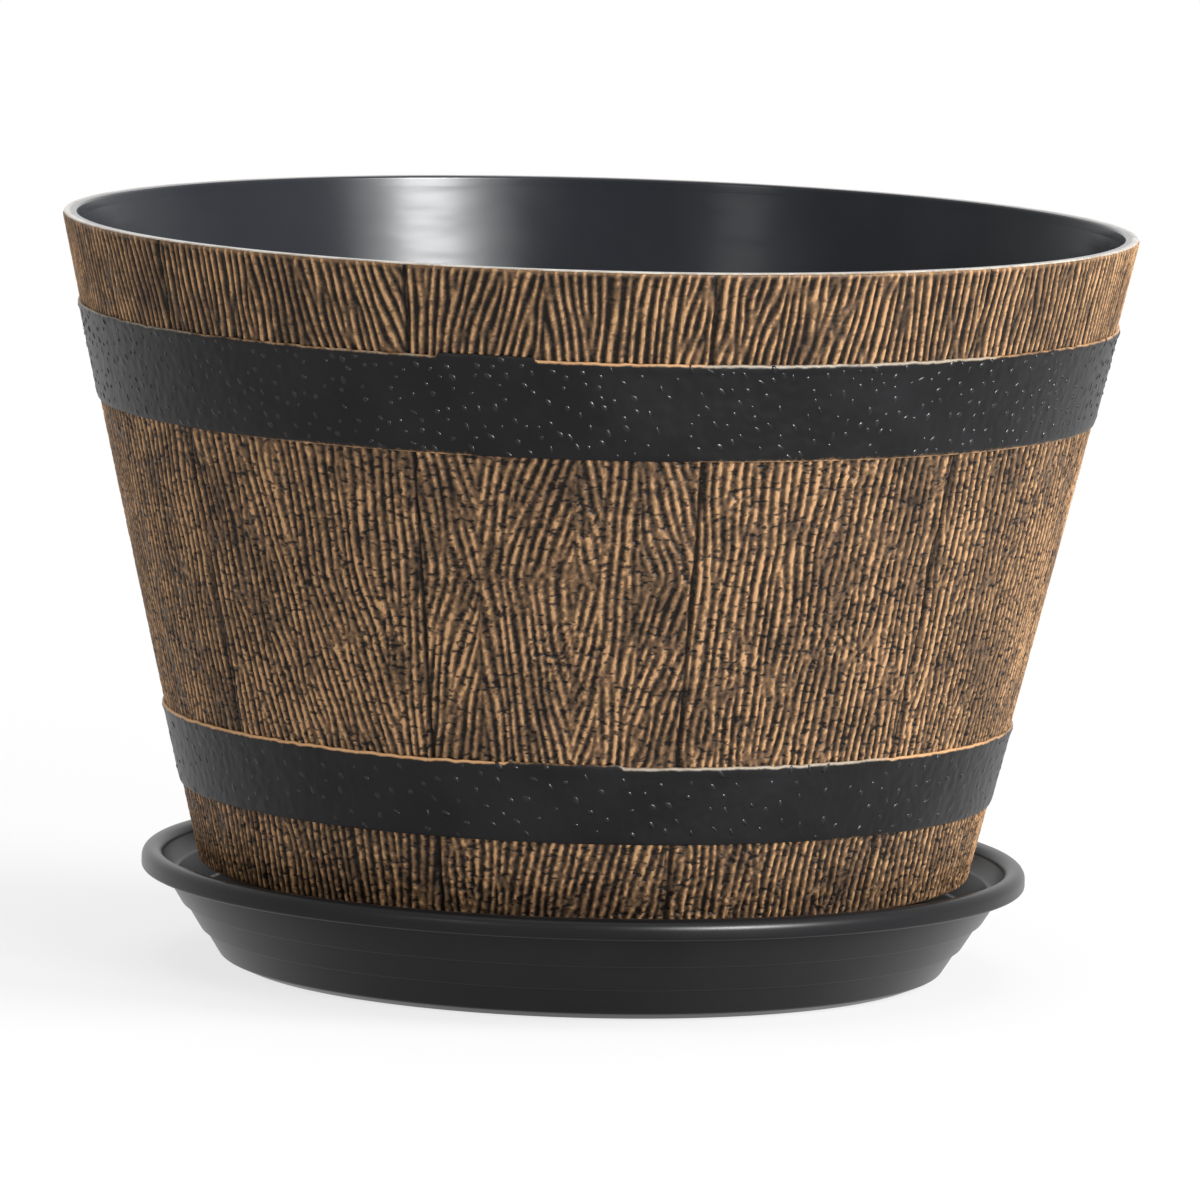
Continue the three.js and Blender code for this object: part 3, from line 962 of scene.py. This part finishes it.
LOWER_EDGE = {
    "lift": [(-86, 0.1), (-40, 0.3), (-24, 0.1), (-10.6, 0.1), (-10.2, 0.4), (4.4, 0.4),
             (4.8, -0.3), (40, 0.1), (77, 0.0), (130, -0.3), (190, 0.3), (240, 0.0)],
    "paint": [(-86, 1.2), (-28, 1.2), (-22, 1.1), (-10.6, 1.0), (-10.2, 0.5), (4.4, 0.4),
              (4.8, 1.0), (60, 1.0), (80, 0.6), (150, 1.0), (200, 0.3), (250, 0.9)],
    "pale": [(-86, 0.1), (-35, 0.3), (-20, 0.3), (0, 0.0), (4.8, 0.8), (13, 1.0), (36, 1.0),
             (50, 0.1), (140, 0.9), (220, 0.2)],
    "haze": [(-86, 0.2), (20, 0.1), (40, 0.4), (77, 0.3), (180, 0.6), (250, 0.2)],
}
HAZE_HEIGHT = 4.0  # the brush also grazed this much of a hoop's face above its lower edge
EDGE_WOBBLE = 0.09
EDGE_WOBBLE_WAVE = 4.0
MOST_BUMPS = 90000.0  # to a square metre, before their spacing thins them out
LEAN_TURNS = (18.0, 36.0)  # angles round the pot between which the bumps' lean turns over
LEAN_CHANCE = 0.45  # how far a bump's lean strays from that, in radians
HOOP_MAP = 0.7  # share of its map that a hoop's own surface takes, upwards
BUMP_MAPS = (0.72, 0.86)  # where the strips of the bumps' outsides and undersides start
BUMP_MAP_HEIGHT = 0.13


def hoop_tree(material):
    """Lays low bumps all over a hoop's face, longer than wide, that lean one way on its left and
    the other way on its right, and marks them for the finish."""
    tree, board, wires = new_tree("bumpy_hoop", {
        "Spacing": 2.8 * MM, "Bump Length": 1.3 * MM, "Bump Width": 0.75 * MM,
        "Bump Height": 0.55 * MM, "Sink": 0.5, "Lean": math.radians(40.0), "Swell": 0.12 * MM,
        "Leather": 0.25 * MM, "Seed": 1,
    })
    place = board.wire("GeometryNodeInputPosition", "Position")
    outward = named(board, "outward", "FLOAT_VECTOR")
    swell = (board.noise(place, 130.0, 2.0) - 0.5) * 2.0 * wires["Swell"]
    leather = (board.noise(place, 420.0, 1.0, seed=4.0) - 0.5) * 2.0 * wires["Leather"]
    push = board.vector_math("SCALE", 0, {
        0: outward, "Scale": (swell + leather) * named(board, "front")})
    ring = board.shape("SetPosition", Geometry=wires["Geometry"], Offset=push)
    spread = board.node("GeometryNodeDistributePointsOnFaces", {"distribute_method": "POISSON"}, {
        "Mesh": ring, "Distance Min": wires["Spacing"], "Density Max": MOST_BUMPS,
        "Selection": named(board, "front") > 0.95, "Seed": wires["Seed"]})
    spots = Wire(board, spread.outputs["Points"])
    upright = board.wire("FunctionNodeAlignRotationToVector", "Rotation", {"axis": "Z"},
                         {"Vector": Wire(board, spread.outputs["Normal"])})
    along = board.vector_math("CROSS_PRODUCT", 0, {0: (0.0, 0.0, 1.0), 1: outward})
    upright = board.wire("FunctionNodeAlignRotationToVector", "Rotation",
                         {"axis": "X", "pivot_axis": "Z"}, {"Rotation": upright, "Vector": along})
    sides = board.node("ShaderNodeSeparateXYZ", None, {0: place})
    ahead = Wire(board, sides.outputs["Y"]) * -1.0
    angle = board.math("ARCTAN2", Wire(board, sides.outputs["X"]), ahead)

    def chance(low, high, number):
        return board.wire("FunctionNodeRandomValue", 1, {"data_type": "FLOAT"},
                          {2: low, 3: high, "Seed": number})

    side = 1 - board.ease(angle, *(math.radians(turn) for turn in LEAN_TURNS)) * 2.0
    lean = side * wires["Lean"] + chance(-LEAN_CHANCE, LEAN_CHANCE, 4)
    turn = board.wire("FunctionNodeAxisAngleToRotation", 0, None,
                      {"Axis": (0, 0, 1), "Angle": lean})
    upright = board.wire("FunctionNodeRotateRotation", 0, {"rotation_space": "LOCAL"},
                         {"Rotation": upright, "Rotate By": turn})
    size = board.wire("ShaderNodeCombineXYZ", 0, None, {
        "X": wires["Bump Width"] * chance(0.6, 1.25, 5),
        "Y": wires["Bump Length"] * chance(0.5, 1.3, 6),
        "Z": wires["Bump Height"] * chance(0.4, 1.15, 7)})
    ball = board.wire("GeometryNodeMeshUVSphere", "Mesh", None,
                      {"Segments": 8, "Rings": 4, "Radius": 1.0})
    sunk = board.wire("ShaderNodeCombineXYZ", 0, None, {"Z": wires["Sink"] * -1.0})
    ball = board.shape("Transform", Geometry=ball, Translation=sunk)
    bumps = board.wire("GeometryNodeInstanceOnPoints", "Instances", None,
                       {"Points": spots, "Instance": ball, "Rotation": upright, "Scale": size})
    bumps = board.shape("SetShadeSmooth", Geometry=board.shape("RealizeInstances", Geometry=bumps))
    bumps = keep(board, bumps, "bump", 1.0)
    bumps = keep(board, bumps, "paint", 0.0)
    joined = board.node("GeometryNodeJoinGeometry")
    for geometry in (ring, bumps):
        board.tree.links.new(geometry.socket, joined.inputs["Geometry"])
    end_tree(board, Wire(board, joined.outputs["Geometry"]), material)
    return tree


def hoop_outline(low, high):
    """The hoop's section, from its lower inner corner round its face: radius, height, how far the
    point belongs to the upper edge, how far to the lower one, and whether the face swells there."""
    face = np.arange(low + HOOP_CHAMFER, high - HOOP_CHAMFER, HOOP_ROW_PITCH)[1:-1]

    def proud(height, back=0.0):
        return wall_radius(height) + HOOP_PROUD - back

    return [
        (wall_radius(low) - HOOP_SEAT, low, 0, 0, 0),
        (proud(low, HOOP_CHAMFER), low, 0, 1, 0),
        (proud(low, 0.12), low + 0.12, 0, 1, 0.2),
        (proud(low), low + HOOP_CHAMFER, 0, 0.6, 0.6),
        *[(proud(z), z, 0, 0.45 * max(0, 1 - (z - low) / HAZE_HEIGHT), 1) for z in face[:-1]],
        (proud(high), high - 1.2, 0.02, 0, 1),
        (proud(high), high - 0.8, 0.35, 0, 0.8),
        (proud(high), high - HOOP_CHAMFER, 0.75, 0, 0.6),
        (proud(high, 0.05), high - 0.2, 0.95, 0, 0.4),
        (proud(high, 0.15), high - 0.08, 1, 0, 0.3),
        (proud(high, 0.3), high, 1, 0, 0.2),
        (wall_radius(high), high, 0.8, 0, 0),
        (wall_radius(high) - HOOP_SEAT, high, 0, 0, 0),
    ]


def make_hoop(name, low, high, edge, tree, **sizes):
    points = hoop_outline(low, high)
    outline = [point[:2] for point in points]
    hoop = turned(name, outline, HOOP_COLUMNS, None, closed=True, reach=HOOP_MAP)
    mesh = hoop.data
    degrees = np.arange(HOOP_COLUMNS) * 360 / HOOP_COLUMNS
    upper, lower, front = (np.array([point[i] for point in points])[:, None] for i in (2, 3, 4))
    places = fetch(mesh.vertices, "co", width=3).reshape(len(points), HOOP_COLUMNS, 3)
    chance = np.random.default_rng(sizes["seed"])
    steps = (1.0, 2 * math.pi * wall_radius(high) / HOOP_COLUMNS)
    wobble = soft_noise(chance, (1, HOOP_COLUMNS), steps, 0.0, EDGE_WOBBLE_WAVE)
    lift = lean_round(edge["lift"], degrees) + EDGE_WOBBLE * wobble
    places[:, :, 2] += (upper > 0) * lift * MM
    mesh.vertices.foreach_set("co", places.ravel())
    paint, haze, pale = (lean_round(edge[key], degrees) for key in ("paint", "haze", "pale"))
    whole = (len(points), HOOP_COLUMNS)
    outward = np.tile(directions(np.radians(degrees)), (len(points), 1))
    store(mesh, "outward", outward, "FLOAT_VECTOR")
    store(mesh, "paint", upper * paint + lower * haze)
    # The upper edge's pale share, which turns its paint cream as a painted highlight.
    store(mesh, "tone", np.broadcast_to((upper > 0) * pale, whole))
    store(mesh, "front", np.broadcast_to(front, whole))
    run_tree(hoop, tree, **sizes)
    lay_bumps(hoop.data, low, high)
    return hoop


def lay_bumps(mesh, low, high):
    """Gives the bumps their own part of the map, above the hoop's: their outsides in one strip and
    their undersides, which the hoop hides, in another."""
    corner_points = fetch(mesh.loops, "vertex_index", np.int32)
    facing = fetch(mesh.polygons, "normal", width=3)[:, :2]
    middle = fetch(mesh.polygons, "center", width=3)[:, :2]
    corner_counts = fetch(mesh.polygons, "loop_total", np.int32)
    outside = np.repeat((facing * middle).sum(1) > 0, corner_counts)
    spots = fetch(mesh.vertices, "co", width=3)[corner_points] / MM
    turn = (np.arctan2(spots[:, 0], -spots[:, 1]) / (2 * math.pi)) % 1
    rise = (spots[:, 2] - low) / (high - low)
    strips = np.stack([turn, np.where(outside, *BUMP_MAPS) + BUMP_MAP_HEIGHT * rise], 1)
    layer = mesh.uv_layers["OFBake"]
    laid = fetch(layer.data, "uv", np.float32, 2)
    is_bump = fetch(mesh.attributes["bump"].data, "value")[corner_points] > 0.5
    laid[is_bump] = strips[is_bump]
    layer.data.foreach_set("uv", laid.ravel())


# ---- Pot: rim and plain shell ----


def make_rim(material):
    foot = POT_TOP - RIM_DEPTH
    top = POT_TOP
    outline = rounded([
        (inner_radius(foot), foot, 0),
        (RIM_RADIUS - SKIN, foot, 0),
        (RIM_RADIUS - SKIN, top - 0.7, 0),
        (RIM_RADIUS - 0.6, top - 0.5, 0),
        (RIM_RADIUS - 0.3 * RIM_ROUND, top - 0.3 * RIM_ROUND, 0),
        (RIM_RADIUS - 0.6 * RIM_ROUND, top, 0.2),
        (RIM_RADIUS - RIM_WIDTH, top, RIM_INNER_ROUND),
    ], CORNER_STEPS)
    return turned("rim_lip", outline, RIM_COLUMNS, material, closed=True)


def shell_outline():
    lip = POT_TOP - RIM_DEPTH + SHELL_TUCK
    floor_top = WALL_BOTTOM + POT_FLOOR
    foot_inner = FOOT_RADIUS - FOOT_WALL
    skin = [(wall_radius(z) - CORE_SINK, z, 0) for z in np.linspace(WALL_BOTTOM + 0.8, lip, 12)]
    return rounded([
        (0, WALL_BOTTOM, 0),
        (foot_inner, WALL_BOTTOM, 1.5),
        (foot_inner, FOOT_BOTTOM, 0.8),
        (FOOT_RADIUS - FOOT_DRAFT, FOOT_BOTTOM, 0.8),
        (FOOT_RADIUS, WALL_BOTTOM, 1.5),
        (wall_radius(WALL_BOTTOM) - CORE_SINK - 0.6, WALL_BOTTOM, 0.4),
        *skin,
        (inner_radius(lip), lip, 0),
        (inner_radius(floor_top), floor_top, FLOOR_FILLET),
        (0, floor_top, 0),
    ], CORNER_STEPS)


def cutter(name, mesh_maker, places):
    """One object of several cutting bodies."""
    vertices, faces = [], []
    for place in places:
        points, sides = mesh_maker(place)
        faces += [[len(vertices) + i for i in side] for side in sides]
        vertices += points
    body = new_piece(name, vertices, faces)
    body.hide_render = True
    return body


def prism(outline, low, high):
    """A straight body over an outline that runs anticlockwise seen from above."""
    count = len(outline)
    points = [(x, y, low) for x, y in outline] + [(x, y, high) for x, y in outline]
    sides = [[i, (i + 1) % count, count + (i + 1) % count, count + i] for i in range(count)]
    sides += [list(range(count))[::-1], [count + i for i in range(count)]]
    return points, sides


def drain_body(number):
    turn = (number + 0.5) * 2 * math.pi / DRAIN_HOLES
    x, y = DRAIN_CIRCLE * math.cos(turn), DRAIN_CIRCLE * math.sin(turn)
    around = np.linspace(0, 2 * math.pi, DRAIN_CORNERS, endpoint=False)
    outline = [(x + DRAIN_RADIUS * math.cos(a), y + DRAIN_RADIUS * math.sin(a)) for a in around]
    return prism(outline, WALL_BOTTOM - CUT_MARGIN, WALL_BOTTOM + POT_FLOOR + CUT_MARGIN)


def notch_body(number):
    turn = number * 2 * math.pi / NOTCHES
    radial = np.array((math.cos(turn), math.sin(turn)))
    beside = np.array((-radial[1], radial[0]))
    middle = radial * (FOOT_RADIUS - FOOT_WALL / 2)
    half = NOTCH_WIDTH / 2
    outline = [tuple(middle + radial * NOTCH_REACH * a + beside * half * b) for a, b in SQUARE]
    return prism(outline, FOOT_BOTTOM - NOTCH_HEIGHT, FOOT_BOTTOM + NOTCH_HEIGHT)


def make_shell(material):
    shell = turned("pot_shell", shell_outline(), PLAIN_COLUMNS, material)
    cutters = [
        cutter("drain_cutter", drain_body, range(DRAIN_HOLES)),
        cutter("notch_cutter", notch_body, range(NOTCHES)),
    ]
    for tool in cutters:
        cut = shell.modifiers.new(tool.name, "BOOLEAN")
        cut.object, cut.operation, cut.solver = tool, "DIFFERENCE", "EXACT"
    settle(shell)
    for tool in cutters:
        bpy.data.objects.remove(tool)
    shell.data.set_sharp_from_angle(angle=SHARP_ANGLE)
    return shell


# ---- Saucer ----

STAND_HEIGHT = 1.2
STAND_RADIUS = 98.4
STAND_WIDTH = 6.0
SAUCER_FLOOR_TOP = 3.0
# Radius and height of each corner of the section, outside and inside.
HEEL = (103.2, 2.0)
TERRACES = 3
TREAD = 1.0
TREAD_ROUND = 0.45
TERRACE_TOP = (119.1, 24.2)
INNER_HEEL = (100.8, 3.8)
LEDGE = (116.7, 24.9)
LIP_RADIUS = 3.0
LIP_WALL = 2.0
LIP_SKIRT = 1.8


def terraces(foot, top, treads):
    """Points of a stepped wall from its foot up, with small level treads."""
    lean = (top[0] - foot[0] - treads * TREAD) / TERRACES
    rise = (top[1] - foot[1]) / TERRACES
    points = []
    radius, height = foot
    for terrace in range(TERRACES):
        radius += lean
        height += rise
        points.append((radius, height, TREAD_ROUND))
        if terrace < treads:
            radius += TREAD
            points.append((radius, height, TREAD_ROUND))
    return points


def make_saucer(material):
    lip_radius = SAUCER_HIGH.x - LIP_RADIUS
    lip_height = SAUCER_HIGH.z - LIP_RADIUS
    hollow = LIP_RADIUS - LIP_WALL

    def roll(radius, low, high, middle_radius=lip_radius, middle_height=lip_height, steps=12):
        return [
            (middle_radius + radius * math.cos(math.radians(a)),
             middle_height + radius * math.sin(math.radians(a)), 0)
            for a in np.linspace(low, high, steps)
        ]

    outline = rounded([
        (0, STAND_HEIGHT, 0),
        (STAND_RADIUS - STAND_WIDTH - STAND_HEIGHT, STAND_HEIGHT, 0.6),
        (STAND_RADIUS - STAND_WIDTH, 0.0, 0.6),
        (STAND_RADIUS, 0.0, 2.0),
        (*HEEL, 2.0),
        *terraces(HEEL, TERRACE_TOP, TERRACES - 1),
        *roll(hollow, 180, 0),
        *roll(LIP_WALL / 2, -180, 0, SAUCER_HIGH.x - LIP_WALL / 2, lip_height - LIP_SKIRT, 8),
        *roll(LIP_RADIUS, 0, 180, steps=18),
        *terraces(INNER_HEEL, LEDGE, TERRACES)[::-1],
        (*INNER_HEEL, 1.0),
        (STAND_RADIUS, SAUCER_FLOOR_TOP, 1.5),
        (0, SAUCER_FLOOR_TOP, 0),
    ])
    return turned("saucer_dish", outline, PLAIN_COLUMNS, material)


# ---- Assembly ----

make_camera()
make_world()
make_floor()
make_lamps()

# The inside and the rim's inner face: black lightened as a painted sheen.
inside_black = satin_black("smooth_inside", INSIDE_BLACK_SHEEN, INSIDE_WORN_SHEEN,
                           gloss=INSIDE_GLOSS, roughness=0.2, waves=0.3 * MM)
saucer_black = satin_black("saucer_satin", PLASTIC_BLACK, PLASTIC_WORN,
                           gloss=0.17, roughness=0.31, waves=0.1 * MM)
grained = brushed_relief()
hoop_finish = hoop_plastic()
staves = make_staves(grained)
bumps = hoop_tree(hoop_finish)
hoops = [
    make_hoop("hoop_upper", UPPER_HOOP_BOTTOM, UPPER_HOOP_TOP, UPPER_EDGE, bumps, seed=3),
    make_hoop("hoop_lower", LOWER_HOOP_BOTTOM, LOWER_HOOP_TOP, LOWER_EDGE, bumps, seed=4,
              spacing=4.2 * MM, bump_height=0.4 * MM),
]
rim = make_rim(rim_paint())
shell = make_shell(inside_black)
dish = make_saucer(saucer_black)

for piece in (*staves, rim):
    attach(piece, "pot")
for piece in (*hoops, shell):
    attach(piece, "pot")
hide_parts("pot")
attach(dish, "saucer")
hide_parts("saucer")

view = bpy.context.scene.view_settings
view.view_transform = "Standard"
